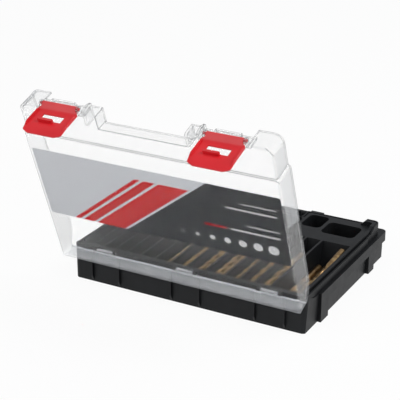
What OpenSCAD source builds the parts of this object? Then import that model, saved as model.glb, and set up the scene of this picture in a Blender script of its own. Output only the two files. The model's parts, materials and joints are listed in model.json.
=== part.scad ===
// Drill bit case: black base with a compartment tray, clear hinged lid and two red latches.
// X runs along the hinge, the latches face -Y, the hinge faces +Y, and z = 0 is the underside.
// The lid and the latches are drawn closed, then turned to the pose in which the case stands open.

/* [Base] */
// Width of the base across its side walls, at the bottom
body_w = 340; // [330:1:360]
// Thickness of the outer walls at the bottom
wall_t = 2.4; // [2:0.1:3]
// Thickness of the floor
floor_t = 2.5; // [2:0.1:4]
// How much wider the walls stand on each side at the ledge than at the bottom
wall_draft = 1.4; // [0.5:0.1:2]
// Height of the ledge that carries the rim of the lid
ledge_h = 40.2; // [38:0.1:42]
// Height of the wall inside the ledge
upstand_h = 50; // [48:0.1:50.4]
// Height of the hinge-side wall
back_h = 51.6; // [50.4:0.1:52]
// Height of the wall behind the finger gap
notch_wall_h = 57; // [54:0.5:60]
// How far the ledge band stands out at each side
band_w = 4.9; // [3.5:0.1:6]
// How far the ledge band stands out at the front
band_front = 3.6; // [2:0.1:5]
// Height of the ledge band
band_h = 13.2; // [8:0.1:18]
// Rounding of the base's upright corners
corner_r = 7; // [4:0.5:10]
// Distance from the middle of the case to the hinge-side end of the ledge band
band_end = 90.5; // [84:0.5:94]
// Width of the front pad on each side wall
pad_front_w = 19; // [14:0.5:24]
// Width of the rear pad on each side wall
pad_rear_w = 22.5; // [14:0.5:26]
// Distance of the front pads from the middle of the case
pad_front_y = 77; // [70:0.5:86]
// Distance of the rear pads from the middle of the case
pad_rear_y = 79.2; // [70:0.1:86]
// Height of the raised front corners
corner_h = 56.5; // [53:0.5:58]
// Length of the raised front corners along the side walls
corner_run = 18; // [10:1:26]

/* [Handle] */
// Width of each block between the finger gap and a latch
boss_w = 19; // [14:0.5:24]
// Depth of the finger gap behind the handle bar
finger_gap = 18; // [16:0.5:20]
// Thickness of the handle bar
grip_t = 10; // [8:0.5:11]
// Height of the handle bar
grip_h = 22; // [16:1:26]
// Height of the blocks that carry the handle bar
grip_block_h = 46; // [42:0.5:48]

/* [Lid] */
// Height of the closed case
case_h = 72.8; // [71:0.1:76]
// How much lower the front strip of the lid lies
strip_drop = 2.8; // [2:0.1:3.4]
// Depth of the front strip from the step to the front edge
strip_d = 42; // [38:0.5:46]
// How much narrower the lid is at the front strip, each side
strip_inset = 3.3; // [2:0.1:3.4]
// Thickness of the lid's walls
lid_t = 2.2; // [1.8:0.1:2.4]
// Distance of the lid's front wall from the base's front band
lid_setback = 9.4; // [9:0.1:10]
// Rounding along the lid's upper edges
lid_edge_r = 3.5; // [2.6:0.1:4]
// Rounding of the lid's front corners
lid_corner_r = 12; // [8:0.5:16]
// Height of the lid's rim at the hinge side, closed
lid_back_rim = 52.4; // [52.2:0.1:53]
// Radius of the cut at the rear end of the lid's side rim
rear_cut_r = 46; // [40:1:52]
// Angle to which the lid stands open
lid_open = 109.7; // [95:0.1:112]

/* [Hinge] */
// Distance of the hinge axis outside the base's hinge wall
hinge_out = 0.6; // [0.4:0.05:0.8]
// Height of the hinge axis
hinge_h = 48.9; // [48.7:0.1:49.1]
// Radius of the hinge pins
pin_r = 1.6; // [1.2:0.1:1.8]
// Radius of the knuckles and ears round the pins
knuckle_r = 3.6; // [3.3:0.1:3.7]
// Width of the lid's knuckles
knuckle_w = 24; // [18:0.5:26]
// Width of each ear of the base
ear_w = 4.6; // [3:0.1:6]
// Distance of the outer hinges from the side walls
hinge_inset = 48.5; // [46:0.5:55]
// Distance of the upright ribs from the middle of each hinge
rib_offset = 21; // [20.5:0.1:24]
// Thickness of the upright ribs
rib_t = 2.6; // [1.8:0.1:4]
// How far the upright ribs stand out from the hinge wall
rib_d = 3.5; // [2:0.1:4.5]
// Height of the upright ribs' tops
rib_top = 46.4; // [44:0.1:46.6]

/* [Latches] */
// Distance of each latch's middle from the side wall
latch_inset = 58.5; // [57:0.5:62]
// Room beside a latch, towards the middle of the case
latch_room_in = 4.75; // [4:0.25:6]
// Room beside a latch, towards the corner of the case
latch_room_out = 1.75; // [1:0.25:3]
// Width of a latch
latch_w = 55.5; // [50:0.5:57]
// Width of a latch between its pivots
latch_neck_w = 48.5; // [44:0.5:49]
// Distance below the pivot at which a latch has its full width
latch_shoulder = 13; // [10:0.5:15]
// Length of a latch's plate below its pivot
latch_l = 44; // [42:0.5:45]
// Thickness of a latch's plate
latch_t = 2; // [1.6:0.1:2.4]
// Distance from the pivot to the plate's outer face
latch_out = 6; // [5.5:0.1:6.2]
// Distance of the latch pivots below the top of the lid's front strip
pivot_drop = 4; // [3.6:0.1:4.4]
// Width of the window in a latch
window_w = 30; // [24:0.5:34]
// Height of the window in a latch
window_h = 11.5; // [9:0.5:12]
// Width of a latch's hook
hook_w = 21; // [16:0.5:24]
// Sideways offset of the hook
hook_offset = 4.5; // [0:0.5:5]
// Height of the catches' undersides above the ledge
catch_rise = 0.6; // [0.4:0.1:1]
// How far the hook reaches in from the plate
hook_reach = 4.6; // [4.2:0.1:6]
// How far the hook reaches behind the front edge of its catch
hook_bite = 3; // [2.4:0.1:3.4]
// Gap between the hook and its catch when closed
hook_gap = 0.3; // [0.2:0.05:0.5]
// Radius of the latches' pivot stubs
stub_r = 1.9; // [1.5:0.1:2.2]
// Width of the catch on the base, and of the stop bar above it on the lid
catch_w = 33; // [28:0.5:38]
// Radius of the finger lip at a latch's free edge
lip_r = 4.5; // [3.5:0.1:6]

/* [Tray] */
// Height of the tray's land
land_h = 50; // [48.5:0.1:50]
// Height of the raised rim along the tray's sides
rim_h = 53.2; // [51:0.1:55]
// Width of the raised rim
rim_w = 4.5; // [3:0.1:5]
// Gap between the tray and the walls of the base
tray_gap = 2; // [1:0.1:2.4]
// Distance from the tray's side to its outermost compartments
tray_side = 5.6; // [5:0.1:7]
// Height of the rear compartments' floor
rear_floor_h = 15; // [8:0.5:16]
// Height of the front compartments' floor
front_floor_h = 24; // [16:0.5:30]
// Thickness of the tray's floors and skirts
tray_t = 2; // [1.5:0.1:2.4]
// Thickness of the walls between rear compartments
divider_t = 3; // [2:0.1:3.4]
// Width of the largest drills' compartment
big_pocket_w = 41; // [38:0.5:42]
// Free length that the rear compartments' floor leaves beside the longest drill
drill_slack = 11; // [8:0.5:16]
// How far the front end of the rear compartments slopes back
scoop = 12; // [8:0.5:14]
// Depth of the land between rear compartments and hinge-side edge
rear_margin = 6.9; // [6:0.1:9]
// Depth of the land between front and rear compartments
land_d = 24; // [20:0.5:30]
// Depth of the front compartments
front_depth = 38; // [34:0.5:46]
// Depth of the land before the front compartments
front_margin = 16; // [14:0.5:20]
// Rounding of the front compartments' corners
pocket_r = 8; // [4:0.5:9]

/* [Drills] */
// Number of drills of each size up to 8 mm
small_count = 10; // [5:1:10]
// Number of drills of each size above 8 mm
large_count = 5; // [3:1:5]
// Gap between drills that lie in one compartment
drill_gap = 0.1; // [0.05:0.05:0.2]
// Length of a drill's shank, of the whole
shank_share = 0.33; // [0.25:0.01:0.4]
// Diameter above which a drill's flutes are cut
fluted_from = 8; // [7:0.5:9.5]
// Length of a drill's point, of its diameter
point_share = 0.3; // [0.2:0.05:0.5]
// Length of one turn of a drill's flutes, of its diameter
helix_share = 5.4; // [4.5:0.1:7]
// Distance of the leaning drill's upper end below the land
lean_drop = 7.5; // [5.5:0.1:12]

/* [Card] */
// Depth of the printed card
card_d = 107; // [90:1:110]
// Distance of the card's middle from the middle of the case
card_y = 0; // [-4:0.5:4]
// Thickness of the printed card
card_t = 0.6; // [0.4:0.1:1]
// Gap between the card and the lid's side walls
card_gap = 1.2; // [0.5:0.1:4]

/* [Hidden] */
$fn = 64;
eps = 0.01;
far = 400;
seat = 0.3;

// Gaps of the fit between lid, base and tray
wall_gap = 0.8;
tray_clear = 0.6;
notch_room = 2;

// Twist drills: lengths in millimetres by size, 1 mm first and then by half millimetres
LENGTHS = [34, 40, 49, 57, 61, 70, 75, 80, 86, 93, 93, 101, 109, 109, 117, 117, 125, 125, 133];
longest = LENGTHS[len(LENGTHS) - 1];

// The case is as deep as its compartments, the land round them and the walls need
rear_depth = longest + drill_slack + scoop;
front_walls = lid_setback - band_front + lid_t + wall_gap + wall_t + tray_gap;
body_d = front_walls + front_margin + front_depth + land_d + rear_depth + rear_margin + tray_gap + wall_t;

// Outer faces of the base
side_x = body_w / 2;
front_y0 = -body_d / 2;
back_y = body_d / 2;
band_x = side_x + band_w;
band_y = front_y0 - band_front;
band_z = ledge_h - band_h;
cavity_x = side_x - wall_t;
cavity_back = back_y - wall_t;
pad_edges = [[-pad_front_y - pad_front_w / 2, -pad_front_y + pad_front_w / 2],
             [pad_rear_y - pad_rear_w / 2, pad_rear_y + pad_rear_w / 2]];

// Outer faces of the lid, closed
strip_h = case_h - strip_drop;
lid_front = band_y + lid_setback;
back_overhang = 2.5;
lid_back = back_y + back_overhang;
step_y = lid_front + strip_d;
strip_x = band_x - strip_inset;
lid_rim = ledge_h + seat;
lid_rim_front = upstand_h + 1;
side_wall_front = lid_front + lid_t - 0.4;

// Wall inside the front ledge, and the wall behind the finger gap
upstand_front = lid_front + lid_t + wall_gap;
cavity_front = upstand_front + wall_t;
front_cavity_x = strip_x - lid_t - wall_gap - wall_t;
side_front = step_y + lid_t + wall_gap + wall_t;
cavity_r = lid_corner_r - lid_t - wall_gap - wall_t;
latch_x = side_x - latch_inset;
recess_x = [latch_x - latch_w / 2 - latch_room_in, latch_x + latch_w / 2 + latch_room_out];
notch_x = recess_x[0] - boss_w;
notch_face = band_y + grip_t + finger_gap;
notch_upstand = notch_face + lid_t + wall_gap;
notch_cavity_x = notch_x + notch_room;
notch_cavity_y = notch_upstand + wall_t;
recess_floor = 12;

// Hinge
hinge_y = back_y + hinge_out;
hinge_x = [-side_x + hinge_inset, 0, side_x - hinge_inset];
play = 0.05;
hinge_gap = 0.4;
turn_gap = 0.5;
ear_span = knuckle_w / 2 + hinge_gap + ear_w;
hinge_zone = ear_span + hinge_gap;

// Latch pivots and the recess that each latch lies in
pivot_y = band_y + latch_out;
pivot_h = strip_h - pivot_drop;
recess_y = pivot_y + latch_out + seat;
ear_x = latch_neck_w / 2 + seat;
latch_ear_w = 3;
latch_ear_r = pivot_drop;
plate_in = latch_out - latch_t;
catch_bottom_r = pivot_h - ledge_h - catch_rise;
hook_r = catch_bottom_r + hook_gap;
catch_front = pivot_y - plate_in + hook_reach - hook_bite;
barrel_r = 3;
edge_t = 1.8;
edge_in = -1.4;
lip_inset = 8;
tab_top = pivot_h - 7;
tab_h = 3.5;

// Tray
tray_x = min(cavity_x - tray_gap, front_cavity_x - tray_clear);
tray_front_y = cavity_front + tray_gap;
tray_r = cavity_r - 1.6;
tray_back_y = cavity_back - tray_gap;
front_y = [tray_front_y + front_margin, tray_front_y + front_margin + front_depth];
rear_y = [front_y[1] + land_d, front_y[1] + land_d + rear_depth];
tray_split = (rear_y[0] + front_y[1]) / 2;
tray_notch_y = notch_cavity_y + 1.1;
tray_notch_x = notch_cavity_x + tray_gap;
pocket_x = tray_x - tray_side;
skirt = tray_side - tray_clear;

// Diameters and numbers of the drills
first_d = 1;
function drill_d(i) = first_d * (1 + i / 2);
function drill_n(i) = drill_d(i) > 8 ? large_count : small_count;
drill_seat = 0.05;
leaning = 18;
function sum(v, n) = n <= 0 ? 0 : v[n - 1] + sum(v, n - 1);

// Rear compartments run from the 10 mm drills at the right to the 3.5 mm drills at the left.
// The widest is given; the others hold two or three drills side by side and share what is left.
REAR = [for (i = [18:-1:5]) i];
pocket_play = 0.6;
function fitting_w(i) = (drill_d(i) > 8 ? 2 : 3) * (drill_d(i) + drill_gap) + pocket_play;
fitting_total = sum([for (k = [1:len(REAR) - 1]) fitting_w(REAR[k])], len(REAR) - 1);
spare_w = (2 * pocket_x - big_pocket_w - fitting_total) / (len(REAR) - 1) - divider_t;
rear_w = [for (k = [0:len(REAR) - 1]) k == 0 ? big_pocket_w : fitting_w(REAR[k]) + spare_w];
function rear_x(k) = -pocket_x + sum(rear_w, k) + k * divider_t;

// Front compartments: left and right edge, front and rear edge, drill size, 1 where drills run along Y.
// Two lie behind the notch, one takes the left side, and two share the right side.
end_play = 1.5;
pocket_wall = 5;
edge_land = 8;
middle_x = 2 * end_play + LENGTHS[4];
beside_x = middle_x + pocket_wall;
outer_x = pocket_x - edge_land;
shared_w = outer_x - beside_x - pocket_wall;
outer_w = LENGTHS[1] + (shared_w - LENGTHS[1]) * 0.237;
small_y = tray_front_y + 4;
small_depth = LENGTHS[0] + 6;
behind_notch = tray_notch_y + 2.5;
FRONT = [[-outer_x, -outer_x + outer_w, front_y[0], front_y[1], 1, 0],
         [-outer_x + outer_w + pocket_wall, -beside_x, small_y, small_y + small_depth, 0, 1],
         [-middle_x, -end_play, behind_notch, front_y[1], 4, 0],
         [end_play, middle_x, behind_notch, front_y[1], 3, 0],
         [beside_x, outer_x, front_y[0], front_y[1], 2, 0]];
function pocket_corner(p) = min(pocket_r, 0.28 * min(p[1] - p[0], p[3] - p[2]));

// ---------------------------------------------------------------- helpers

// Rectangle from corner a to corner b with rounded corners
module round_rect(a, b, r) {
    translate([a[0] + r, a[1]]) square([b[0] - a[0] - 2 * r, b[1] - a[1]]);
    translate([a[0], a[1] + r]) square([b[0] - a[0], b[1] - a[1] - 2 * r]);
    for (x = [a[0] + r, b[0] - r], y = [a[1] + r, b[1] - r])
        translate([x, y]) circle(r);
}

// Box from corner a to corner b
module span(a, b) {
    translate(a) cube(b - a);
}

// A profile drawn in Y and Z, drawn out along X from x0 to x1
module along_x(x0, x1) {
    translate([x0, 0, 0]) rotate([90, 0, 90]) linear_extrude(x1 - x0) children();
}

// A profile drawn in X and Z, drawn out along Y from y0 to y1
module along_y(y0, y1) {
    translate([0, y1, 0]) rotate([90, 0, 0]) linear_extrude(y1 - y0) children();
}

// The same thing at the right and at the left
module both_sides() {
    children();
    mirror([1, 0, 0]) children();
}

// Round bar along X
module rod(x0, x1, r) {
    translate([x0, 0, 0]) rotate([0, 90, 0]) cylinder(h = x1 - x0, r = r);
}

// Moves what is drawn on the closed lid to where the open lid carries it
module opened() {
    translate([0, hinge_y, hinge_h]) rotate([-lid_open, 0, 0])
        translate([0, -hinge_y, -hinge_h]) children();
}

// ---------------------------------------------------------------- base

// Outside of the base up to the ledge, leaning out a little towards the ledge
module base_outside() {
    top_x = side_x + wall_draft;
    intersection() {
        linear_extrude(ledge_h)
            round_rect([-top_x, front_y0 - wall_draft], [top_x, back_y], corner_r);
        along_y(-far, far)
            polygon([[-side_x, 0], [side_x, 0], [top_x, ledge_h], [-top_x, ledge_h]]);
        along_x(-far, far)
            polygon([[front_y0, 0], [back_y, 0], [back_y, ledge_h], [front_y0 - wall_draft, ledge_h]]);
    }
}

// Band below the ledge, round the front and along both sides
module ledge_band() {
    intersection() {
        translate([0, 0, band_z]) linear_extrude(band_h)
            round_rect([-band_x, band_y], [band_x, back_y + corner_r * 2], corner_r + 1);
        span([-far, -far, 0], [far, band_end, far]);
    }
}

// Upright pads on the side walls, flush with the band
module side_pads() {
    for (edges = pad_edges)
        both_sides() span([side_x - 1, edges[0], 0], [band_x, edges[1], band_z + eps]);
}

// Plan of the space inside the base, grown by g: narrower in front, where the lid is narrower
module cavity_plan(g) {
    x = cavity_x + g;
    front_x = front_cavity_x + g;
    difference() {
        union() {
            round_rect([-x, side_front - g], [x, cavity_back + g], corner_r - wall_t + g);
            round_rect([-front_x, cavity_front - g], [front_x, side_front + 20], cavity_r + g);
        }
        translate([-notch_cavity_x + g, -far])
            square([2 * (notch_cavity_x - g), far + notch_cavity_y - g]);
    }
}

// Curve that the rear end of the lid's rim and the base's rear blocks share, lowered by d
module rear_curve(d) {
    rise = lid_back_rim - lid_rim;
    curve_y = hinge_y - sqrt(pow(rear_cut_r, 2) - pow(rear_cut_r - rise, 2)) - 4;
    difference() {
        translate([curve_y, ledge_h - 1]) square([far, lid_back_rim - ledge_h + 1 - d]);
        translate([curve_y, lid_rim + rear_cut_r - d]) circle(rear_cut_r, $fn = 128);
    }
}

// Hinge-side corner blocks, rising in a curve from the ledge to the hinge wall
module rear_blocks() {
    both_sides() intersection() {
        along_x(cavity_x, side_x + wall_draft) intersection() {
            rear_curve(2 * seat);
            square([back_y, back_h]);
        }
        linear_extrude(far)
            round_rect([-far, -far], [side_x + wall_draft, back_y], corner_r);
    }
}

// Blocks at both ends of the handle, each side of the finger gap
module grip_blocks() {
    both_sides() along_y(band_y, upstand_front + 1)
        translate([notch_x, 0]) square([recess_x[0] - notch_x, grip_block_h]);
}

// Handle bar across the finger gap, with rounded long edges
module grip() {
    grip_top = grip_block_h - 1;
    along_x(-notch_x - 1, notch_x + 1)
        round_rect([band_y, grip_top - grip_h], [band_y + grip_t, grip_top], 3.5);
}

// Catch for one latch: its underside is an arc round the latch's pivot
module latch_catch() {
    low = pivot_h - catch_bottom_r - 1;
    top = ledge_h + 4.8;
    intersection() {
        along_x(-catch_w / 2, catch_w / 2)
            polygon([[recess_y + eps, low], [catch_front, low], [catch_front, top - 2.4],
                     [catch_front + 2, top], [recess_y + 2, top], [recess_y + 2, low - 2]]);
        translate([0, pivot_y, pivot_h]) rod(-catch_w, catch_w, catch_bottom_r);
    }
}

// Raised front corners: where the walls and the tray's rim may reach, rising from both sides
module corner_rise(base_h) {
    slope = corner_h - base_h;
    start = recess_x[1] + 2;
    along_y(-far, far)
        polygon([[start, 0], [start, base_h], [start + slope, corner_h], [far, corner_h], [far, 0]]);
}

// Side view that goes with it, falling to base_h along the side walls
module corner_fall(base_h) {
    slope = corner_h - base_h;
    end = cavity_front + corner_run;
    along_x(-far, far)
        polygon([[-far, 0], [far, 0], [far, base_h], [end + 2 * slope, base_h], [end, corner_h],
                 [-far, corner_h]]);
}

// Wall inside the ledge, raised at the two front corners
module upstand() {
    linear_extrude(upstand_h) cavity_plan(wall_t);
    both_sides() intersection() {
        linear_extrude(corner_h) difference() {
            cavity_plan(wall_t);
            cavity_plan(-eps);
        }
        corner_rise(upstand_h);
        corner_fall(upstand_h);
    }
}

// Ears of one hinge, with the brackets that carry them on the wall
module hinge_ears() {
    for (s = [-1, 1]) {
        x0 = s > 0 ? ear_span - ear_w : -ear_span;
        translate([x0, hinge_y, hinge_h]) rod(0, ear_w, knuckle_r);
        along_x(x0, x0 + ear_w)
            polygon([[cavity_back + 1, hinge_h - 14], [back_y, hinge_h - 14], [hinge_y + 2, hinge_h - 8],
                     [hinge_y + knuckle_r - 1.2, hinge_h - 2.5], [hinge_y, hinge_h],
                     [cavity_back + 1, hinge_h]]);
    }
}

// Upright rib on the hinge wall, pointed below, its top lying along the open lid's rim
module hinge_rib() {
    out = back_y + rib_d;
    along_x(-rib_t / 2, rib_t / 2)
        polygon([[back_y - 1, 1.5], [back_y, 1.5], [out, 9], [out, rib_top - 1.8], [back_y, rib_top],
                 [back_y - 1, rib_top]]);
}

module base_shell() {
    color([0.07, 0.07, 0.075]) difference() {
        union() {
            difference() {
                union() {
                    base_outside();
                    ledge_band();
                    side_pads();
                    upstand();
                    span([-notch_x + 2, notch_upstand, ledge_h],
                         [notch_x - 2, notch_cavity_y + eps, notch_wall_h]);
                    rear_blocks();
                    span([-side_x + corner_r, cavity_back, ledge_h - 1],
                         [side_x - corner_r, back_y, back_h]);
                }
                translate([0, 0, floor_t]) linear_extrude(far) cavity_plan(0);
                // Finger gap, and the recess behind each latch
                span([-notch_x, -far, -1], [notch_x, notch_face, far]);
                both_sides() span([recess_x[0], -far, recess_floor], [recess_x[1], recess_y, far]);
            }
            grip_blocks();
            grip();
            both_sides() translate([latch_x, 0, 0]) latch_catch();
            for (x = hinge_x) translate([x, 0, 0]) hinge_ears();
            for (x = hinge_x, s = [-1, 1]) translate([x + s * rib_offset, 0, 0]) hinge_rib();
        }
        for (x = hinge_x) translate([x, hinge_y, hinge_h]) {
            // Room for the lid's knuckle and web
            half = knuckle_w / 2 + hinge_gap;
            rod(-half, half, knuckle_r + turn_gap);
            span([-half, -knuckle_r - turn_gap, 0], [half, knuckle_r + 2 * turn_gap, far]);
            rod(-ear_span - 1, ear_span + 1, pin_r);
        }
    }
}

module hinge_pin(k) {
    color([0.7, 0.7, 0.72]) translate([hinge_x[k], hinge_y, hinge_h])
        rod(-ear_span, ear_span, pin_r);
}

// ---------------------------------------------------------------- tray

// Plan of the tray, lying inside the walls of the base
module tray_plan() {
    difference() {
        round_rect([-tray_x, tray_front_y], [tray_x, tray_back_y], tray_r);
        translate([-tray_notch_x, -far]) square([2 * tray_notch_x, far + tray_notch_y]);
    }
}

// One front compartment, its walls upright and its corners rounded
module front_pocket(p) {
    translate([0, 0, front_floor_h]) linear_extrude(far)
        round_rect([p[0], p[2]], [p[1], p[3]], pocket_corner(p));
}

// Raised rim along the sides, turning the front corners, where it is higher still
module tray_rim() {
    both_sides() intersection() {
        linear_extrude(corner_h) difference() {
            round_rect([-tray_x, tray_front_y], [tray_x, rear_y[1]], tray_r);
            round_rect([-tray_x + rim_w, tray_front_y + rim_w], [tray_x - rim_w, far], 4);
        }
        corner_rise(land_h);
        corner_fall(rim_h);
    }
}

module tray_front() {
    color([0.08, 0.08, 0.085]) difference() {
        intersection() {
            union() {
                linear_extrude(land_h) tray_plan();
                tray_rim();
            }
            span([-far, -far, floor_t], [far, tray_split, far]);
        }
        for (p = FRONT) front_pocket(p);
        // Hollow underside: below the compartments, and below the land behind them
        under = front_floor_h - tray_t;
        inner_x = tray_notch_x + tray_t;
        both_sides() span([inner_x, tray_front_y + tray_t, -1], [tray_x - skirt, tray_split + eps, under]);
        span([-inner_x - eps, tray_notch_y + tray_t, -1], [inner_x + eps, tray_split + eps, under]);
        span([-tray_x + skirt, front_y[1] + tray_t, -1],
             [tray_x - skirt, tray_split + eps, land_h - tray_t]);
    }
}

// Side view of the rear compartments, front end sloped
module rear_side_view(floor_z, top_z) {
    slope = scoop / (land_h - rear_floor_h);
    polygon([[rear_y[0] + scoop, floor_z], [rear_y[1], floor_z], [rear_y[1], top_z],
             [rear_y[0] - slope * (top_z - land_h), top_z]]);
}

module tray_rear() {
    color([0.08, 0.08, 0.085]) difference() {
        intersection() {
            union() {
                linear_extrude(land_h) tray_plan();
                tray_rim();
            }
            span([-far, tray_split, floor_t], [far, far, far]);
        }
        along_x(-pocket_x, pocket_x) rear_side_view(rear_floor_h, land_h + 5);
        // Hollow underside
        half = tray_x - skirt;
        foot = rear_y[0] + scoop - tray_t;
        span([-half, rear_y[0] + scoop, -1], [half, rear_y[1], rear_floor_h - tray_t]);
        along_x(-half, half)
            polygon([[tray_split - eps, -1], [foot, -1], [foot, rear_floor_h],
                     [rear_y[0] - tray_t, land_h - tray_t], [tray_split - eps, land_h - tray_t]]);
    }
}

module rear_dividers() {
    color([0.08, 0.08, 0.085]) for (k = [0:len(REAR) - 2]) {
        x0 = rear_x(k) + rear_w[k];
        along_x(x0, x0 + divider_t) rear_side_view(rear_floor_h, land_h);
    }
}

// ---------------------------------------------------------------- drills

// Cross-section of a drill's fluted part: two lands with two flutes between them
module flute_section(r) {
    lands = [[1, 0], [0.99, 32], [0.55, 56], [0.34, 96], [0.76, 142]];
    polygon([for (turn = [0, 180], p = lands) r * p[0] * [cos(p[1] + turn), sin(p[1] + turn)]]);
}

// A twist drill along +Y from its shank end, its point last
module drill(i) {
    d = drill_d(i);
    r = d / 2;
    l = LENGTHS[i];
    tip = point_share * d;
    shank = shank_share * l;
    rotate([-90, 0, 0])
        if (d > fluted_from) {
            fluted = l - shank;
            turns = fluted / (helix_share * d);
            cylinder(h = shank, r = r, $fn = 32);
            intersection() {
                translate([0, 0, shank - eps])
                    linear_extrude(fluted, twist = -360 * turns, slices = round(8 * turns), $fn = 10)
                        flute_section(r);
                union() {
                    cylinder(h = l - tip, r = r + 1, $fn = 32);
                    translate([0, 0, l - tip]) cylinder(h = tip, r1 = r, r2 = r * 0.1, $fn = 32);
                }
            }
        } else {
            cylinder(h = l - tip, r = r, $fn = 32);
            translate([0, 0, l - tip]) cylinder(h = tip, r1 = r, r2 = r * 0.16, $fn = 32);
        }
}

// Number of drills that lie side by side in a compartment w wide, and their spacing
function abreast(i, w) = min(drill_n(i), floor((w - pocket_play + eps) / (drill_d(i) + drill_gap)));
function pitch(i, w) = (w - pocket_play) / abreast(i, w);
// Layers nest in the gaps of the layer below, so every second layer holds one drill fewer
function layer(j, m) = 2 * floor(j / (2 * m - 1)) + (j % (2 * m - 1) >= m ? 1 : 0);
function place(j, m) = j % (2 * m - 1) - (j % (2 * m - 1) >= m ? m - 0.5 : 0);
function rise(i, p) = sqrt(max(0, pow(drill_d(i) + drill_gap, 2) - p * p / 4));

// Drills of size i in rear compartment k, points towards the hinge
module rear_drills(i, k) {
    w = rear_w[k];
    m = abreast(i, w);
    p = pitch(i, w);
    r = drill_d(i) / 2;
    l = LENGTHS[i];
    for (j = [0:drill_n(i) - 1]) {
        x = rear_x(k) + pocket_play / 2 + p / 2 + place(j, m) * p;
        z = rear_floor_h + drill_seat + r + layer(j, m) * rise(i, p);
        if (i == leaning && j == drill_n(i) - 1) {
            // The last of the largest drills lies on the others, its shank against the sloped end
            end_z = land_h - lean_drop;
            lean = asin((end_z - z - seat) / l);
            slope_y = rear_y[0] + scoop * (land_h - end_z + r) / (land_h - rear_floor_h);
            translate([x, slope_y + r * sin(lean) + 2 * seat, end_z]) rotate([-lean, 0, 0]) drill(i);
        } else
            translate([x, rear_y[1] - 0.5 - j % 3 - l, z]) drill(i);
    }
}

// Drills of size i in front compartment p, in two layers on its floor
module front_drills(i, p) {
    turned = p[5] == 1;
    middle = [(p[0] + p[1]) / 2, (p[2] + p[3]) / 2];
    m = ceil(0.55 * drill_n(i));
    step = drill_d(i) * 1.12;
    half = LENGTHS[i] / 2;
    for (j = [0:drill_n(i) - 1]) {
        off = (place(j, m) - (m - 1) / 2) * step;
        z = front_floor_h + drill_seat + drill_d(i) / 2 + layer(j, m) * rise(i, step);
        if (turned) translate([middle[0] + off, middle[1] - half, z]) drill(i);
        else translate([middle[0] + half, middle[1] + off, z]) rotate([0, 0, 90]) drill(i);
    }
}

// All drills of size i, in the compartment that is theirs
module drills(i) {
    color([0.62, 0.45, 0.25]) {
        for (k = [0:len(REAR) - 1]) if (REAR[k] == i) rear_drills(i, k);
        for (p = FRONT) if (p[4] == i) front_drills(i, p);
    }
}

// ---------------------------------------------------------------- lid

// Profile from y or x = a to b with rounded upper corners, its lower corners square
module roof(a, b, top, r) {
    round_rect([a, 0], [b, top], r);
    translate([a, 0]) square([b - a, ledge_h / 2]);
}

// Outside of the lid's main part, smaller by t on every side and longer below
module lid_main(t) {
    x = band_x - t;
    y = [step_y + t, lid_back - t];
    z = case_h - t;
    r = lid_edge_r - t;
    intersection() {
        linear_extrude(z) round_rect([-x, y[0]], [x, y[1]], 6 - t);
        along_y(-far, far) roof(-x, x, z, r);
        along_x(-far, far) roof(-far, y[1], z, r);
    }
}

// Outside of the lid's front strip, smaller by t on every side and longer below
module lid_strip(t) {
    x = strip_x - t;
    y = lid_front + t;
    z = strip_h - t;
    r = lid_edge_r - t;
    intersection() {
        linear_extrude(z) round_rect([-x, y], [x, step_y + 40], lid_corner_r - t);
        span([-far, -far, 0], [far, step_y + t + (t > 0 ? eps : 1), far]);
        along_y(-far, far) roof(-x, x, z, r);
        along_x(-far, far) roof(y, far, z, r);
    }
}

// What is cut away below the lid's rim
module below_rim() {
    span([-far, -far, -1], [far, far, lid_rim]);
    along_x(-far, far) rear_curve(0);
    span([-recess_x[1], -far, -1], [recess_x[1], recess_y + lid_t + 0.4, lid_rim_front]);
    span([-side_x + 1, hinge_y - 10, 0], [side_x - 1, far, lid_back_rim]);
    for (x = hinge_x)
        span([x - hinge_zone, hinge_y - 10, 0], [x + hinge_zone, far, hinge_h + knuckle_r + 0.9]);
}

// Ear that carries one end of a latch, round at its pivot
module latch_ear() {
    along_x(0, latch_ear_w) translate([pivot_y, pivot_h]) {
        circle(latch_ear_r);
        translate([0, -latch_ear_r]) square([recess_y + 0.2 - pivot_y, 2 * latch_ear_r]);
    }
}

// Cheek beside a latch, its front edge rounded
module cheek() {
    along_x(recess_x[0] - 3, recess_x[0])
        intersection() {
            translate([lid_front + 14, lid_rim_front + 9]) circle(19.5, $fn = 96);
            translate([-far, lid_rim_front]) square([far + notch_face, strip_h - lid_rim_front]);
        }
}

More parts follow.
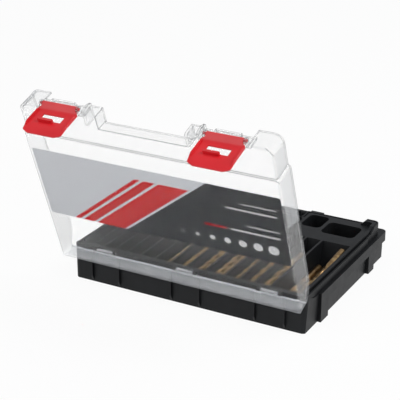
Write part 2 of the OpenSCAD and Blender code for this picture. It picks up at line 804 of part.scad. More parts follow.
module lid() {
    top = strip_h - 1;
    opened() color([0.85, 0.88, 0.9, 0.35]) difference() {
        union() {
            difference() {
                union() {
                    lid_main(0);
                    lid_strip(0);
                }
                lid_main(lid_t);
                lid_strip(lid_t);
                below_rim();
                // Handle notch and latch recesses
                span([-notch_x, -far, 0], [notch_x, notch_face, far]);
                both_sides() span([recess_x[0], -far, 0], [recess_x[1], recess_y, far]);
            }
            // Wall round the handle notch
            span([-notch_x - lid_t, notch_face, upstand_h + 4.5],
                 [notch_x + lid_t, notch_face + lid_t, top]);
            both_sides() {
                span([notch_x, side_wall_front, lid_rim_front], [notch_x + lid_t, notch_face + lid_t, top]);
                // Wall behind the latch, end wall of the corner portion, cheek, stop bar and ears
                span([recess_x[0] - 1, recess_y, lid_rim_front], [recess_x[1] + 1, recess_y + lid_t, top]);
                span([recess_x[1], side_wall_front, lid_rim_front],
                     [recess_x[1] + lid_t, recess_y + lid_t, top]);
                cheek();
                translate([latch_x, 0, 0]) {
                    along_x(-catch_w / 2, catch_w / 2)
                        round_rect([pivot_y - 1, tab_top - tab_h], [recess_y + 1, tab_top], 1);
                    for (x = [-ear_x - latch_ear_w, ear_x]) translate([x, 0, 0]) latch_ear();
                }
            }
            // Knuckles, with the webs that join them to the hinge-side wall
            for (x = hinge_x) translate([x, hinge_y, hinge_h]) {
                web_y = lid_back - hinge_y;
                rod(-knuckle_w / 2, knuckle_w / 2, knuckle_r);
                span([-knuckle_w / 2, web_y - lid_t, 0],
                     [knuckle_w / 2, web_y, max(lid_back_rim - hinge_h, knuckle_r + 0.9) + 1.5]);
            }
        }
        for (x = hinge_x) translate([x, hinge_y, hinge_h]) rod(-knuckle_w, knuckle_w, pin_r + play);
        both_sides() translate([latch_x, pivot_y, pivot_h])
            rod(-ear_x - latch_ear_w - 1, ear_x + latch_ear_w + 1, stub_r + play);
    }
}

module card_insert() {
    card_x = band_x - lid_t - card_gap;
    top = case_h - lid_t;
    opened() color([0.16, 0.17, 0.19])
        span([-card_x, card_y - card_d / 2, top - card_t], [card_x, card_y + card_d / 2, top]);
}

// ---------------------------------------------------------------- latches

// Outline of a latch's plate, seen from the front, the pivot at the origin
module plate_outline() {
    neck = latch_neck_w / 2;
    half = latch_w / 2;
    lip = half - lip_inset;
    polygon([[-neck, 0], [neck, 0], [neck, -latch_ear_r - 0.8], [half, -latch_shoulder],
             [half, -latch_l + 6], [lip, -latch_l], [-lip, -latch_l], [-half, -latch_l + 6],
             [-half, -latch_shoulder], [-neck, -latch_ear_r - 0.8]]);
}

// Curled finger lip at the plate's free edge
module finger_lip() {
    lip = latch_w / 2 - lip_inset;
    along_x(-lip, lip)
        intersection() {
            translate([-plate_in - lip_r, -latch_l]) difference() {
                circle(lip_r);
                circle(lip_r - latch_t);
            }
            translate([-plate_in - lip_r, -latch_l - lip_r]) square([lip_r, lip_r + eps]);
        }
}

// A latch hanging closed, its pivot at the origin
module latch_closed() {
    half = latch_w / 2;
    difference() {
        union() {
            along_y(-latch_out, -plate_in) plate_outline();
            // Barrel at the pivot, running out into the plate
            along_x(-latch_neck_w / 2, latch_neck_w / 2) {
                circle(barrel_r);
                polygon([[barrel_r, 0], [-plate_in, -9], [-latch_out, -9], [-latch_out, 0]]);
                intersection() {
                    circle(latch_out);
                    translate([-latch_out, 0]) square([latch_out, barrel_r]);
                }
            }
            rod(-ear_x - latch_ear_w, ear_x + latch_ear_w, stub_r);
            // Stiffening rims along both edges
            for (x = [-half, half - edge_t]) along_x(x, x + edge_t)
                polygon([[-plate_in - eps, -latch_shoulder], [-plate_in - eps, -latch_l + 6],
                         [edge_in, -latch_l + 10], [edge_in, -latch_shoulder - 3]]);
            finger_lip();
        }
        span([-window_w / 2, -far, -hook_r], [window_w / 2, -plate_in + eps, -hook_r + window_h]);
    }
    // Hook: its catching face is an arc round the pivot
    difference() {
        span([hook_offset - hook_w / 2, -plate_in - latch_t, -hook_r - 3],
             [hook_offset + hook_w / 2, -plate_in + hook_reach, -hook_r + 2]);
        rod(-latch_w, latch_w, hook_r);
    }
}

module latch(x) {
    opened() color([0.8, 0.02, 0.05])
        translate([x, pivot_y, pivot_h]) rotate([180, 0, 0]) latch_closed();
}

// ---------------------------------------------------------------- assembly

base_shell();
tray_front();
tray_rear();
rear_dividers();
hinge_pin(0);  // hinge_pin_right
hinge_pin(1);  // hinge_pin_middle
hinge_pin(2);  // hinge_pin_left
lid();
card_insert();
latch(-latch_x);  // latch_right
latch(latch_x);  // latch_left
drills(0);  // drills_1_0
drills(1);  // drills_1_5
drills(2);  // drills_2_0
drills(3);  // drills_2_5
drills(4);  // drills_3_0
drills(5);  // drills_3_5
drills(6);  // drills_4_0
drills(7);  // drills_4_5
drills(8);  // drills_5_0
drills(9);  // drills_5_5
drills(10);  // drills_6_0
drills(11);  // drills_6_5
drills(12);  // drills_7_0
drills(13);  // drills_7_5
drills(14);  // drills_8_0
drills(15);  // drills_8_5
drills(16);  // drills_9_0
drills(17);  // drills_9_5
drills(18);  // drills_10_0
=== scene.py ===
"""Looks of the drill bit case: materials, printed card, latches, twist drills, light and camera."""

import functools
import json
import math
import random

import bmesh
import bpy
import numpy as np
from mathutils import Matrix, Vector


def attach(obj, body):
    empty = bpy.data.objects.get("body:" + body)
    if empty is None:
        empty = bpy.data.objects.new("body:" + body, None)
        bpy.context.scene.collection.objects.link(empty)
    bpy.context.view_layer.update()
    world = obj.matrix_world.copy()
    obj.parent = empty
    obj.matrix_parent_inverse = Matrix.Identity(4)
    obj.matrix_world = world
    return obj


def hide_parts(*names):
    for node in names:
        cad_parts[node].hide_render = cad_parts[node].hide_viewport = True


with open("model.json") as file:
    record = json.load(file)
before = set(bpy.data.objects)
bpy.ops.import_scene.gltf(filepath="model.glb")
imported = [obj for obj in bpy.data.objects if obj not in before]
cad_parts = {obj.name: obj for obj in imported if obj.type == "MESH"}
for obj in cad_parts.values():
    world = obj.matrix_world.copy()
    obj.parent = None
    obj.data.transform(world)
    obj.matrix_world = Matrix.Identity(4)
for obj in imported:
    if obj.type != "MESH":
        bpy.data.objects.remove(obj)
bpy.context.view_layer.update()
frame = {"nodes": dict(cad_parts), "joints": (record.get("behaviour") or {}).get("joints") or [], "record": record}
nodes = frame["nodes"]
joints = {joint["name"]: joint for joint in frame["joints"]}
rng = random.Random(7)

MM = 0.001
LID_OPEN = math.radians(joints["lid_hinge"]["range_deg"][1])
HINGE = Vector(joints["lid_hinge"]["pos_m"])
# Carries a point of the closed lid to where the open lid has it
OPENED = Matrix.Translation(HINGE) @ Matrix.Rotation(-LID_OPEN, 4, "X") @ Matrix.Translation(-HINGE)


# ---------------------------------------------------------------- shader helpers

# Places of a Mix node's colour sockets
MIX_BASE, MIX_OVER, MIX_RESULT = 6, 7, 2


class Field:
    """A value that varies over a surface, put together from Math nodes."""

    def __init__(self, tree, socket):
        self.tree = tree
        self.socket = socket

    def _math(self, operation, *values):
        """Result of a Math node over fields and plain numbers."""
        node = self.tree.nodes.new("ShaderNodeMath")
        node.operation = operation
        for slot, value in zip(node.inputs, values):
            if isinstance(value, Field):
                self.tree.links.new(value.socket, slot)
            else:
                slot.default_value = value
        return Field(self.tree, node.outputs[0])

    def __add__(self, other):
        return self._math("ADD", self, other)

    def __sub__(self, other):
        return self._math("SUBTRACT", self, other)

    def __mul__(self, other):
        return self._math("MULTIPLY", self, other)

    def __lt__(self, other):
        return self._math("LESS_THAN", self, other)

    def __gt__(self, other):
        return self._math("GREATER_THAN", self, other)

    def either(self, other):
        return self._math("MAXIMUM", self, other)

    def between(self, low, high):
        return (self > low) * (self < high)

    def distance(self):
        return self._math("ABSOLUTE", self)

    def root(self):
        return self._math("SQRT", self)


def new_material(name, **values):
    """A material with one Principled shader, whose uniform values are set on its own sockets."""
    material = bpy.data.materials.new(name)
    material.use_nodes = True
    tree = material.node_tree
    shader = tree.nodes["Principled BSDF"]
    for socket, value in values.items():
        shader.inputs[socket.replace("_", " ")].default_value = value
    return material, tree, shader


def place(tree, stretch=(1, 1, 1)):
    """Position on the object in metres, stretched for a grain that runs one way."""
    coordinates = tree.nodes.new("ShaderNodeTexCoord")
    mapping = tree.nodes.new("ShaderNodeMapping")
    mapping.inputs["Scale"].default_value = stretch
    tree.links.new(coordinates.outputs["Object"], mapping.inputs["Vector"])
    return mapping.outputs["Vector"]


def position(tree, scale=1):
    """X, Y and Z of a point on the object, in metres times scale."""
    split = tree.nodes.new("ShaderNodeSeparateXYZ")
    tree.links.new(place(tree, (scale, scale, scale)), split.inputs[0])
    return [Field(tree, axis) for axis in split.outputs]


def noise(tree, grain_mm, detail=3, roughness=0.5, stretch=(1, 1, 1)):
    """Noise whose spots are about grain_mm across."""
    texture = tree.nodes.new("ShaderNodeTexNoise")
    texture.inputs["Scale"].default_value = 1 / (grain_mm * MM)
    texture.inputs["Detail"].default_value = detail
    texture.inputs["Roughness"].default_value = roughness
    tree.links.new(place(tree, stretch), texture.inputs["Vector"])
    return texture.outputs["Fac"]


def colours(tree, value, stops):
    """Colour ramp from (place, rgb) stops, driven by value."""
    ramp = tree.nodes.new("ShaderNodeValToRGB")
    while len(ramp.color_ramp.elements) < len(stops):
        ramp.color_ramp.elements.new(0.5)
    for element, (at, rgb) in zip(ramp.color_ramp.elements, stops):
        element.position = at
        element.color = (*rgb, 1)
    tree.links.new(value, ramp.inputs["Fac"])
    return ramp.outputs["Color"]


def two_tone(tree, value, first, second):
    """Colour that goes from first to second over the middle of value's run from 0 to 1."""
    return colours(tree, value, [(0.3, first), (0.7, second)])


def paint(tree, base, over, where):
    """Colour output base, with over on it where the field is 1."""
    mix = tree.nodes.new("ShaderNodeMix")
    mix.data_type = "RGBA"
    tree.links.new(where.socket, mix.inputs["Factor"])
    tree.links.new(base, mix.inputs[MIX_BASE])
    tree.links.new(over, mix.inputs[MIX_OVER])
    return mix.outputs[MIX_RESULT]


def spread(tree, value, low, high, start=0, end=1):
    """Value from start..end spread over low..high."""
    node = tree.nodes.new("ShaderNodeMapRange")
    for socket, amount in (("From Min", start), ("From Max", end), ("To Min", low), ("To Max", high)):
        node.inputs[socket].default_value = amount
    tree.links.new(value, node.inputs["Value"])
    return node.outputs["Result"]


def largest(fields):
    """Largest of the fields, which for fields of 0 and 1 is 1 where at least one of them is 1."""
    return functools.reduce(Field.either, fields)


def add_bump(tree, shader, height, strength, depth_mm):
    """Relief of depth_mm in the shader's surface, after a height that runs from 0 to 1."""
    bump = tree.nodes.new("ShaderNodeBump")
    bump.inputs["Strength"].default_value = strength
    bump.inputs["Distance"].default_value = depth_mm * MM
    tree.links.new(height, bump.inputs["Height"])
    tree.links.new(bump.outputs["Normal"], shader.inputs["Normal"])


# ---------------------------------------------------------------- materials

def moulded(name, dark, light, low, high, grain_mm=0.45, depth_mm=0.03, **values):
    """Moulded plastic: a fine even grain, and a slow drift in tone and gloss."""
    material, tree, shader = new_material(name, **values)
    tree.links.new(two_tone(tree, noise(tree, 38, 4, 0.55), dark, light), shader.inputs["Base Color"])
    tree.links.new(spread(tree, noise(tree, 14, 5, 0.6), low, high), shader.inputs["Roughness"])
    add_bump(tree, shader, noise(tree, grain_mm, 2, 0.6), 0.35, depth_mm)
    return material


# The clear lid, in mm from the hinge on the closed lid: where the hinge-side wall's outer part starts,
# how high the rim lies that gets a painted highlight line, and how far out the painted edge lines are a pale
# painted highlight and not a dark painted shade
WALL_FROM = -0.4
RIM_HIGHLIGHT_HEIGHTS = (3, 4.6)
EDGE_HIGHLIGHT_FROM = -95
# Width of the painted shade and highlight lines along the lid's edges in mm, and how strongly they cover what is
# behind them
EDGE_SHADING_WIDTH = 1.1
EDGE_SHADING_STRENGTH = 2.2
# Mask value from which the painted shade and highlight lines along the lid's edges show
EDGE_SHADING_FROM = 0.25
# Cover of the lid's faces seen flat on and edge-on, of the frosted wall and of the painted highlight on its rim,
# where 1 hides what is behind, and the layer weights between which a face goes from flat on to edge-on
FLAT_COVER, EDGE_COVER = 0.05, 0.85
FROST_COVER, RIM_HIGHLIGHT_COVER = 0.30, 0.8
EDGE_ON = (0.42, 0.85)
# Share of its clearness that the plastic loses where it is frosted, and again under the painted shade and
# highlight lines
CLOUDED = 0.6


def on_closed_lid(tree):
    """How far behind the hinge and above it a point of the lid is when the lid is shut."""
    _, y, z = position(tree)
    y, z = y - HINGE.y, z - HINGE.z
    return (y * math.cos(LID_OPEN) - z * math.sin(LID_OPEN),
            y * math.sin(LID_OPEN) + z * math.cos(LID_OPEN))


def edge_shading_mask(tree):
    """Mask of the painted shade and highlight lines: 0 on flat faces, and more than 0 along edges: how far a
    softened normal is from the face's own.
    """
    softened = tree.nodes.new("ShaderNodeBevel")
    softened.samples = 6
    softened.inputs["Radius"].default_value = EDGE_SHADING_WIDTH * MM
    face = tree.nodes.new("ShaderNodeNewGeometry")
    bend = tree.nodes.new("ShaderNodeVectorMath")
    bend.operation = "DISTANCE"
    tree.links.new(softened.outputs["Normal"], bend.inputs[0])
    tree.links.new(face.outputs["Normal"], bend.inputs[1])
    return Field(tree, bend.outputs["Value"]) * EDGE_SHADING_STRENGTH


def clear_plastic():
    """Clear polystyrene: polished, greyer edge-on, with painted shade lines along its edges, painted highlight
    lines near the hinge and a painted highlight on the frosted wall's rim, its hinge-side wall frosted.
    """
    material, tree, shader = new_material("clear_polystyrene", IOR=1.49)
    behind, above = on_closed_lid(tree)
    frosted = behind > WALL_FROM * MM
    # Painted highlight: a pale line along the rim of the frosted hinge-side wall, where its rounded edge would
    # catch the light
    rim_highlight = frosted * above.between(RIM_HIGHLIGHT_HEIGHTS[0] * MM, RIM_HIGHLIGHT_HEIGHTS[1] * MM)
    # Painted shade and highlight lines along the lid's edges, found from softened normals
    edge_shading = edge_shading_mask(tree)
    edge_shaded = edge_shading > EDGE_SHADING_FROM

    waves = noise(tree, 60, 2)
    clear = two_tone(tree, waves, (0.21, 0.23, 0.25), (0.27, 0.29, 0.31))
    frost = two_tone(tree, waves, (0.78, 0.80, 0.83), (0.88, 0.90, 0.92))
    # Colours of the painted edge lines: dark is painted shade along the lid's edges, pale is painted highlight
    # along the edges near the hinge
    dark = two_tone(tree, waves, (0.10, 0.11, 0.12), (0.13, 0.14, 0.15))
    pale = two_tone(tree, waves, (0.50, 0.51, 0.53), (0.58, 0.59, 0.61))
    body = paint(tree, clear, frost, frosted)
    edge_shade_and_highlight = paint(tree, dark, pale, behind > EDGE_HIGHLIGHT_FROM * MM)
    tree.links.new(paint(tree, body, edge_shade_and_highlight, edge_shaded), shader.inputs["Base Color"])

    see_through = (frosted * -CLOUDED + 1) * (edge_shaded * -CLOUDED + 1)
    tree.links.new(see_through.socket, shader.inputs["Transmission Weight"])
    facing = tree.nodes.new("ShaderNodeLayerWeight").outputs["Facing"]
    faces = Field(tree, spread(tree, facing, FLAT_COVER, EDGE_COVER, *EDGE_ON))
    cover = largest([faces, frosted * FROST_COVER, edge_shading, rim_highlight * RIM_HIGHLIGHT_COVER])
    tree.links.new(cover.socket, shader.inputs["Alpha"])
    tree.links.new(spread(tree, noise(tree, 22, 3), 0.02, 0.10), shader.inputs["Roughness"])
    add_bump(tree, shader, noise(tree, 9, 2), 0.12, 0.05)
    return material


def drill_steel():
    """Cobalt steel with a straw-brown heat tint that differs from spot to spot."""
    material, tree, shader = new_material("tinted_drill_steel", Metallic=1.0)
    tints = [(0.28, (0.10, 0.062, 0.035)), (0.48, (0.30, 0.19, 0.09)),
             (0.66, (0.50, 0.35, 0.17)), (0.8, (0.60, 0.52, 0.40))]
    tree.links.new(colours(tree, noise(tree, 11, 4, 0.6), tints), shader.inputs["Base Color"])
    tree.links.new(spread(tree, noise(tree, 1.6, 4, 0.7), 0.22, 0.42), shader.inputs["Roughness"])
    add_bump(tree, shader, noise(tree, 0.35, 2), 0.2, 0.02)
    return material


def pin_steel():
    """Drawn wire: fine marks along its length."""
    material, tree, shader = new_material("drawn_wire", Metallic=1.0)
    marks = noise(tree, 0.5, 4, 0.7, stretch=(0.05, 1, 1))
    grey = two_tone(tree, marks, (0.42, 0.42, 0.43), (0.66, 0.66, 0.67))
    tree.links.new(grey, shader.inputs["Base Color"])
    tree.links.new(spread(tree, marks, 0.22, 0.42), shader.inputs["Roughness"])
    add_bump(tree, shader, marks, 0.25, 0.02)
    return material


def plain_card():
    """Unprinted back of the card, with fibres that run one way."""
    material, tree, shader = new_material("card_back", Roughness=0.8)
    fibres = noise(tree, 1.2, 5, 0.7, stretch=(1, 0.3, 1))
    grey = two_tone(tree, fibres, (0.55, 0.55, 0.54), (0.66, 0.66, 0.65))
    tree.links.new(grey, shader.inputs["Base Color"])
    add_bump(tree, shader, fibres, 0.3, 0.03)
    return material


# Print of the card, in mm on the closed lid. The dark field's edge and the stripes lean with SLANT:
# their places are those of x - SLANT * y
SLANT = 1.22
DARK_BELOW = -9.5
STRIPES = ((-5, 36), (41, 57), (62, 70))
STRIPE_ENDS = (-36, 60)
DOT_RADII = (7.2, 6.3, 5.4, 4.5, 3.6, 2.7, 1.9)
DOTS_FROM, DOT_PITCH, DOTS_Y = -151, 20.5, 33
# Both ends, place and half width of the white rules and of the red one
RULES = ((-163, -98, 12, 1.2), (-163, -120, 2, 0.8), (-163, -96, -22, 1.2), (-163, -116, -32, 0.8))
RED_RULE = (-92, -62, 12, 1.2)


def printed_card():
    """Print of the card: grey ground, red stripes, and a dark field with dots and rules."""
    material, tree, shader = new_material("card_print", Roughness=0.8, Specular_IOR_Level=0.1)
    x, y, _ = position(tree, 1 / MM)
    slanted = x - y * SLANT

    def rule(left, right, at, half):
        return x.between(left, right) * ((y - at).distance() < half)

    def dot(at, radius):
        dx, dy = x - at, y - DOTS_Y
        return (dx * dx + dy * dy).root() < radius

    stripes = largest([slanted.between(*ends) for ends in STRIPES]) * y.between(*STRIPE_ENDS)
    dots = [dot(DOTS_FROM + DOT_PITCH * k, radius) for k, radius in enumerate(DOT_RADII)]
    marks = largest(dots + [rule(*values) for values in RULES])

    fibres = noise(tree, 2.5, 5, 0.7)
    ground = two_tone(tree, fibres, (0.69, 0.70, 0.72), (0.75, 0.76, 0.78))
    red = two_tone(tree, fibres, (0.64, 0.006, 0.008), (0.72, 0.010, 0.012))
    ink = two_tone(tree, fibres, (0.011, 0.013, 0.016), (0.017, 0.019, 0.023))
    white = two_tone(tree, fibres, (0.70, 0.70, 0.70), (0.78, 0.78, 0.78))
    shade = paint(tree, ground, red, stripes)
    shade = paint(tree, shade, ink, slanted < DARK_BELOW)
    shade = paint(tree, shade, white, marks)
    shade = paint(tree, shade, red, rule(*RED_RULE))
    tree.links.new(shade, shader.inputs["Base Color"])
    add_bump(tree, shader, fibres, 0.15, 0.02)
    return material


MATERIALS = {
    "black_plastic": moulded("black_polypropylene", (0.0050, 0.0055, 0.0065), (0.0085, 0.0095, 0.011),
                             0.40, 0.56, Specular_IOR_Level=0.22),
    "tray_plastic": moulded("black_tray", (0.006, 0.0065, 0.0075), (0.010, 0.011, 0.0125),
                            0.42, 0.58, Specular_IOR_Level=0.26),
    "clear_plastic": clear_plastic(),
    "red_plastic": moulded("red_plastic", (0.62, 0.006, 0.012), (0.72, 0.010, 0.018), 0.30, 0.42,
                           grain_mm=0.6, depth_mm=0.02),
    "pin_steel": pin_steel(),
    "drill_steel": drill_steel(),
}
slot_of = {part["node"]: part["material_slot"] for part in frame["record"]["subparts"]}

for name in nodes:
    if slot_of[name] in MATERIALS:
        nodes[name].data.materials.clear()
        nodes[name].data.materials.append(MATERIALS[slot_of[name]])


# ---------------------------------------------------------------- mesh helpers

def add_object(name, data):
    """New object in the scene with the mesh, light or camera given."""
    added = bpy.data.objects.new(name, data)
    bpy.context.scene.collection.objects.link(added)
    return added


def mesh_of(bm, name):
    """Mesh with the contents of bm, which is freed."""
    mesh = bpy.data.meshes.new(name)
    bm.to_mesh(mesh)
    bm.free()
    return mesh


def round_edges(bm, sharper_than, width_mm, **options):
    """Round off the edges whose two faces turn by more than the angle given, in radians."""
    edges = [e for e in bm.edges if len(e.link_faces) == 2 and e.calc_face_angle(0) > sharper_than]
    bmesh.ops.bevel(bm, geom=edges, offset=width_mm * MM, segments=2, affect="EDGES", **options)


def smooth(mesh, crease_deg):
    """Smooth shading, but for edges sharper than crease_deg."""
    mesh.shade_smooth()
    mesh.set_sharp_from_angle(angle=math.radians(crease_deg))


# ---------------------------------------------------------------- printed card

# Radius of the card's corners, rounding of its edges and how far its print lies under its CAD face, in mm
CARD_CORNER, CARD_EDGE, CARD_UNDER = 3, 0.12, 0.06
# Steps round each corner, and the turn in radians from which an edge of the sheet is rounded
CORNER_STEPS = 6
CARD_SHARP = 1.2


def make_card():
    """The card in the lid: a thin sheet with rounded corners and soft edges, printed on its outer side."""
    closed = OPENED.inverted()
    cad = [closed @ v.co for v in nodes["card_insert"].data.vertices]
    x0, x1 = min(p.x for p in cad), max(p.x for p in cad)
    y0, y1 = min(p.y for p in cad), max(p.y for p in cad)
    z0, z1 = min(p.z for p in cad), max(p.z for p in cad) - CARD_UNDER * MM
    radius = CARD_CORNER * MM
    bm = bmesh.new()
    outline = []
    for cx, cy, start in ((x1 - radius, y1 - radius, 0), (x0 + radius, y1 - radius, 90),
                          (x0 + radius, y0 + radius, 180), (x1 - radius, y0 + radius, 270)):
        for k in range(CORNER_STEPS + 1):
            angle = math.radians(start + 90 * k / CORNER_STEPS)
            outline.append(bm.verts.new((cx + radius * math.cos(angle), cy + radius * math.sin(angle), z0)))
    top = bmesh.ops.extrude_face_region(bm, geom=[bm.faces.new(outline)])
    raised = [v for v in top["geom"] if isinstance(v, bmesh.types.BMVert)]
    bmesh.ops.translate(bm, vec=(0, 0, z1 - z0), verts=raised)
    bmesh.ops.recalc_face_normals(bm, faces=bm.faces)
    round_edges(bm, CARD_SHARP, CARD_EDGE, profile=0.5)
    for f in bm.faces:
        f.material_index = 0 if f.normal.z > 0.7 else 1
    mesh = mesh_of(bm, "card_sheet")
    mesh.materials.append(printed_card())
    mesh.materials.append(plain_card())
    card = add_object("card_sheet", mesh)
    card.matrix_world = OPENED
    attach(card, "lid")
    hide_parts("card_insert")


make_card()


# ---------------------------------------------------------------- latches

# A latch that hangs closed, in mm from its pivot, with y towards the case and heights measured downwards
LATCH_HALF, NECK_HALF = 27.6, 24.1
# Distance below the pivot, outer face, inner face and half width of the plate
PLATE = [(-2.9, -4.4, 1.0, NECK_HALF), (-1.6, -5.5, 2.5, NECK_HALF), (0, -5.9, 2.9, NECK_HALF),
         (4.6, -6, -0.6, NECK_HALF), (6.2, -6, -2.0, LATCH_HALF), (9, -6, -3.8, LATCH_HALF),
         (14, -6, -4, LATCH_HALF), (25.5, -6, -4, LATCH_HALF), (34, -6, -4, LATCH_HALF),
         (40, -6.7, -4.7, LATCH_HALF), (44.4, -7.5, -5.5, 26.8), (48, -8.4, -6.5, 19)]
# Top, bottom and both sides of the window, and the columns of the plate's grid that it takes up
WINDOW = (14, 25.5, -15, 15)
WINDOW_COLUMNS = (2, 3)
# Ends of the hook along X, and its outline as (y, distance below the pivot)
HOOK_X = (-6, 15)
HOOK = [(-4.4, 25.2), (-2, 25.42), (0.1, 25.5), (0.55, 25.9), (0.55, 27.6), (-0.4, 28.4), (-4.4, 28.4)]
# Outline and width of the flanges along the plate's sides
FLANGE = [(-4.2, 6.4), (-1.4, 9), (-1.4, 33), (-4.2, 39)]
FLANGE_W = 1.9
# Half length, radius and sides of the pivot stubs
STUB_HALF, STUB_R, STUB_SIDES = 27.4, 1.85, 20
# Rounding of the edges in mm, and the turn in radians from which an edge is rounded
LATCH_EDGE, LATCH_SHARP = 0.35, 0.9


def prism(bm, profile, x0, x1):
    """Solid drawn out along X from a profile of (y, distance below the pivot) in mm."""
    ends = [[bm.verts.new((x * MM, y * MM, -s * MM)) for y, s in profile] for x in (x0, x1)]
    bm.faces.new(ends[0])
    bm.faces.new(list(reversed(ends[1])))
    count = len(profile)
    for k in range(count):
        bm.faces.new((ends[0][k], ends[1][k], ends[1][(k + 1) % count], ends[0][(k + 1) % count]))


def plate_sheet(bm, face):
    """Grid of vertices over the plate's outer (0) or inner (1) face, one row for each row of PLATE."""
    rows = []
    for below, outer, inner, half in PLATE:
        y = (outer, inner)[face]
        columns = (-half, -half + FLANGE_W, WINDOW[2], HOOK_X[0], WINDOW[3], half - FLANGE_W, half)
        rows.append([bm.verts.new((x * MM, y * MM, -below * MM)) for x in columns])
    return rows


def plate(bm):
    """The latch's plate: wedge at the pivot, window, and a free edge that curls outwards."""
    sheets = [plate_sheet(bm, face) for face in (0, 1)]
    rows, cols = len(sheets[0]) - 1, len(sheets[0][0]) - 1
    in_window = [WINDOW[0] <= row[0] < WINDOW[1] for row in PLATE]
    solid = {(i, j) for i in range(rows) for j in range(cols)
             if not (in_window[i] and j in WINDOW_COLUMNS)}
    for i, j in solid:
        for sheet in sheets:
            bm.faces.new((sheet[i][j], sheet[i][j + 1], sheet[i + 1][j + 1], sheet[i + 1][j]))
        for beside, a, b in (((i - 1, j), (i, j), (i, j + 1)), ((i + 1, j), (i + 1, j), (i + 1, j + 1)),
                             ((i, j - 1), (i, j), (i + 1, j)), ((i, j + 1), (i, j + 1), (i + 1, j + 1))):
            if beside not in solid:
                bm.faces.new([sheets[k][r][c] for k, (r, c) in ((0, a), (0, b), (1, b), (1, a))])


def make_latch(side):
    """One latch, drawn hanging closed and then turned to where the open lid carries it."""
    name = "latch_" + side
    bm = bmesh.new()
    plate(bm)
    prism(bm, HOOK, *HOOK_X)
    for x0, x1 in ((-LATCH_HALF, -LATCH_HALF + FLANGE_W), (LATCH_HALF - FLANGE_W, LATCH_HALF)):
        prism(bm, FLANGE, x0, x1)
    angles = [2 * math.pi * k / STUB_SIDES for k in range(STUB_SIDES)]
    prism(bm, [(STUB_R * math.cos(a), STUB_R * math.sin(a)) for a in angles], -STUB_HALF, STUB_HALF)
    bmesh.ops.recalc_face_normals(bm, faces=bm.faces)
    round_edges(bm, LATCH_SHARP, LATCH_EDGE, profile=0.6, clamp_overlap=True)
    pivot = OPENED.inverted() @ Vector(joints[name + "_pivot"]["pos_m"])
    bm.transform(OPENED @ Matrix.Translation(pivot) @ Matrix.Rotation(math.pi, 4, "X"))
    mesh = mesh_of(bm, name + "_moulding")
    smooth(mesh, 35)
    mesh.materials.append(MATERIALS["red_plastic"])
    latch = add_object(name + "_moulding", mesh)
    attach(latch, name)
    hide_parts(name)


for side in ("right", "left"):
    make_latch(side)


# ---------------------------------------------------------------- twist drills

# Share of a drill's length that is shank
SHANK = 0.33
# Length of one full turn of the flutes and of the point, in diameters
HELIX = 5.4
POINT = 0.3
# Share of the radius that a flute is deep
FLUTE_DEPTH = 0.62
# Where a flute starts and how far it reaches, as shares of half a turn
FLUTE_START, FLUTE_REACH = 0.13, 0.70
# Chamfer of the shank's end: its length in diameters, and the share of the radius left at the end
CHAMFER, CHAMFER_LEFT = 0.07, 0.86
# Share of the radius left at the very tip
TIP_LEFT = 0.08
# Powers that lean a flute to one side and fill it out, and the run in which it gets deep, in diameters
FLUTE_LEAN, FLUTE_FILL, FLUTE_RUN = 0.8, 0.75, 0.8
# Rings of vertices in one full turn, vertices round thick and thin drills, and the radius between, in mm
RINGS_A_TURN = 12
ROUND_THICK, ROUND_THIN, THICK_ABOVE = 20, 14, 2
# Vertices that agree to this many digits are one, and those this near to a drill's end make its end ring
SAME_DIGITS = 7
END_RING = 1e-5


def solids_of(mesh):
    """Vertex positions of each separate solid of a mesh."""
    points = np.array([v.co for v in mesh.vertices], float)
    keys = {}
    merged = [keys.setdefault(tuple(p), len(keys)) for p in np.round(points, SAME_DIGITS)]
    parent = list(range(len(keys)))

    def root(a):
        while parent[a] != a:
            parent[a] = parent[parent[a]]
            a = parent[a]
        return a

    for edge in mesh.edges:
        a, b = (root(merged[i]) for i in edge.vertices)
        parent[a] = b
    groups = {}
    for point, index in keys.items():
        groups.setdefault(root(index), []).append(point)
    return [np.array(g) for g in groups.values()]


def axis_of(points):
    """Shank end, unit axis towards the point, length and radius of one drill."""
    centre = points.mean(0)
    axis = np.linalg.svd(points - centre)[2][0]
    along = (points - centre) @ axis
    ends = []
    for sign in (-1, 1):
        extreme = (along * sign).max()
        ring = points[along * sign > extreme - END_RING]
        middle = ring.mean(0)
        ends.append((middle, np.linalg.norm(ring - middle, axis=1).max()))
    (a, ra), (b, rb) = ends
    if ra < rb:
        a, b, ra = b, a, rb
    length = np.linalg.norm(b - a)
    return a, (b - a) / length, length, ra


def flute_depth(angle):
    """From 0 on the lands to 1 in the middle of the two flutes, at an angle round the drill."""
    across = ((angle / math.pi) % 1 - FLUTE_START) / FLUTE_REACH
    if not 0 < across < 1:
        return 0.0
    return math.sin(math.pi * across ** FLUTE_LEAN) ** FLUTE_FILL


def drill_rings(radius, length):
    """Rings of vertices from the shank end to the point of a drill that stands on the origin."""
    d = 2 * radius
    count = ROUND_THICK if radius > THICK_ABOVE * MM else ROUND_THIN
    shank, tip = SHANK * length, length - POINT * d
    stations = [(0, CHAMFER_LEFT), (CHAMFER * d, 1), (shank, 1)]
    rings = math.ceil((tip - shank) / (HELIX * d / RINGS_A_TURN))
    stations += [(shank + (tip - shank) * k / rings, 1) for k in range(1, rings + 1)]
    stations += [(tip + POINT * d * s, 1 - (1 - TIP_LEFT) * s) for s in (0.5, 1)]
    points = []
    for z, scale in stations:
        turn = 2 * math.pi * max(0, z - shank) / (HELIX * d)
        run_in = min(1, max(0, (z - shank) / (FLUTE_RUN * d)))
        for k in range(count):
            angle = 2 * math.pi * k / count
            r = radius * scale * (1 - FLUTE_DEPTH * run_in * flute_depth(angle))
            points.append((r * math.cos(angle + turn), r * math.sin(angle + turn), z))
    return np.array(points), count


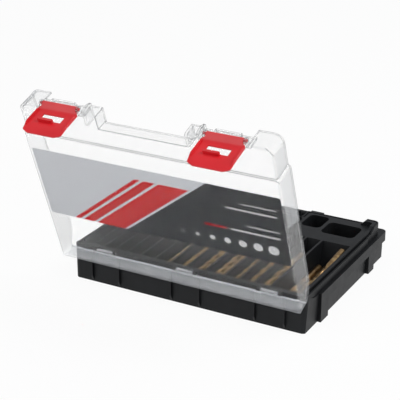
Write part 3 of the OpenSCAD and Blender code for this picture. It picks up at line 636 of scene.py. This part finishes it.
def make_drills(name):
    """One object with all drills of one size, each where its CAD solid lies."""
    points, faces = [], []
    offset = 0
    for solid in solids_of(nodes[name].data):
        start, axis, length, radius = axis_of(solid)
        local, count = drill_rings(radius, length)
        roll = Matrix.Rotation(rng.uniform(0, math.pi), 3, "Z")
        turned = Vector(axis).to_track_quat("Z", "X").to_matrix() @ roll
        points.append(local @ np.array(turned).T + start)
        rings = len(local) // count
        for i in range(rings - 1):
            for k in range(count):
                a, b = offset + i * count + k, offset + i * count + (k + 1) % count
                faces.append((a, b, b + count, a + count))
        faces.append(tuple(offset + k for k in reversed(range(count))))
        faces.append(tuple(offset + (rings - 1) * count + k for k in range(count)))
        offset += len(local)
    mesh = bpy.data.meshes.new("twist_" + name)
    mesh.from_pydata(np.concatenate(points).tolist(), [], faces)
    smooth(mesh, 42)
    mesh.materials.append(MATERIALS["drill_steel"])
    drills = add_object("twist_" + name, mesh)
    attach(drills, "base")
    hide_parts(name)


for name in sorted(nodes):
    if name.startswith("drills_"):
        make_drills(name)


# ---------------------------------------------------------------- floor, light and camera

def ray_kinds(tree):
    """1 for rays straight from the camera, and 1 for rays mirrored by or refracted through the object."""
    path = tree.nodes.new("ShaderNodeLightPath")
    camera, glossy, through = (Field(tree, path.outputs[n]) for n in
                               ("Is Camera Ray", "Is Glossy Ray", "Is Transmission Ray"))
    return camera, glossy.either(through)


# Half width of the floor, and how far out it is as pale for mirrored rays as for the camera, in metres
FLOOR_HALF = 7
PALE_OUT_TO = 1.4
# Share of the floor's look that is an even glow. The rest takes the object's faint shadow
FLOOR_GLOW = 0.93


def make_floor():
    """Pale floor: nearly white to the camera, with a faint shadow under the object."""
    material = bpy.data.materials.new("pale_floor")
    material.use_nodes = True
    tree = material.node_tree
    tree.nodes.clear()
    diffuse = tree.nodes.new("ShaderNodeBsdfDiffuse")
    diffuse.inputs["Color"].default_value = (0.82, 0.82, 0.82, 1)
    glow = tree.nodes.new("ShaderNodeEmission")
    mix = tree.nodes.new("ShaderNodeMixShader")
    output = tree.nodes.new("ShaderNodeOutputMaterial")
    camera, bent = ray_kinds(tree)
    x, y, _ = position(tree)
    nearby = (x * x + y * y).root() < PALE_OUT_TO
    tree.links.new((camera.either(bent * nearby) * FLOOR_GLOW).socket, mix.inputs[0])
    tree.links.new(diffuse.outputs[0], mix.inputs[1])
    tree.links.new(glow.outputs[0], mix.inputs[2])
    tree.links.new(mix.outputs[0], output.inputs["Surface"])
    corners = [(i * FLOOR_HALF, j * FLOOR_HALF, 0) for i, j in ((-1, -1), (1, -1), (1, 1), (-1, 1))]
    mesh = bpy.data.meshes.new("floor")
    mesh.from_pydata(corners, [], [(0, 1, 2, 3)])
    mesh.materials.append(material)
    floor = add_object("floor", mesh)


def make_world():
    """White to the camera, and a softer and cooler white for the light that falls on the object."""
    world = bpy.data.worlds.new("studio")
    bpy.context.scene.world = world
    world.use_nodes = True
    tree = world.node_tree
    tree.nodes.clear()
    mix = tree.nodes.new("ShaderNodeMixShader")
    tree.links.new(ray_kinds(tree)[0].socket, mix.inputs[0])
    for slot, colour, strength in ((1, (0.95, 0.97, 1.0, 1), 0.55), (2, (1, 1, 1, 1), 1.0)):
        background = tree.nodes.new("ShaderNodeBackground")
        background.inputs["Color"].default_value = colour
        background.inputs["Strength"].default_value = strength
        tree.links.new(background.outputs[0], mix.inputs[slot])
    output = tree.nodes.new("ShaderNodeOutputWorld")
    tree.links.new(mix.outputs[0], output.inputs["Surface"])


def add_area(name, at, towards, size, watts):
    """Round area light that shines from one point towards another."""
    light = bpy.data.lights.new(name, "AREA")
    light.shape = "DISK"
    light.size = size
    light.energy = watts
    lamp = add_object(name, light)
    lamp.location = at
    lamp.rotation_mode = "QUATERNION"
    lamp.rotation_quaternion = (Vector(towards) - Vector(at)).to_track_quat("-Z", "Y")


# Camera fitted to the case's edges in the photograph: its place, its own axes and its focal length in mm
CAMERA_AT = (-0.75083, 1.44508, 0.78868)
RIGHT = Vector((-0.875166, -0.483819, -0.001879))
UP = Vector((0.187125, -0.342061, 0.920857))
LENS, SENSOR = 117.682, 36


def add_camera():
    """The photograph's camera, which becomes the scene's."""
    optics = bpy.data.cameras.new("camera")
    optics.sensor_width = SENSOR
    optics.lens = LENS
    optics.clip_start, optics.clip_end = 0.05, 60
    camera = add_object("camera", optics)
    axes = Matrix((RIGHT, UP, RIGHT.cross(UP))).transposed()
    camera.matrix_world = Matrix.Translation(CAMERA_AT) @ axes.to_4x4()
    bpy.context.scene.camera = camera


make_floor()
make_world()
add_area("key", (-1.3, -0.2, 1.7), (0, 0, 0.05), 1.2, 22)
add_area("fill", (0.9, 1.7, 1.2), (0, 0.1, 0.1), 1.4, 10)
add_camera()
bpy.context.scene.view_settings.view_transform = "Standard"
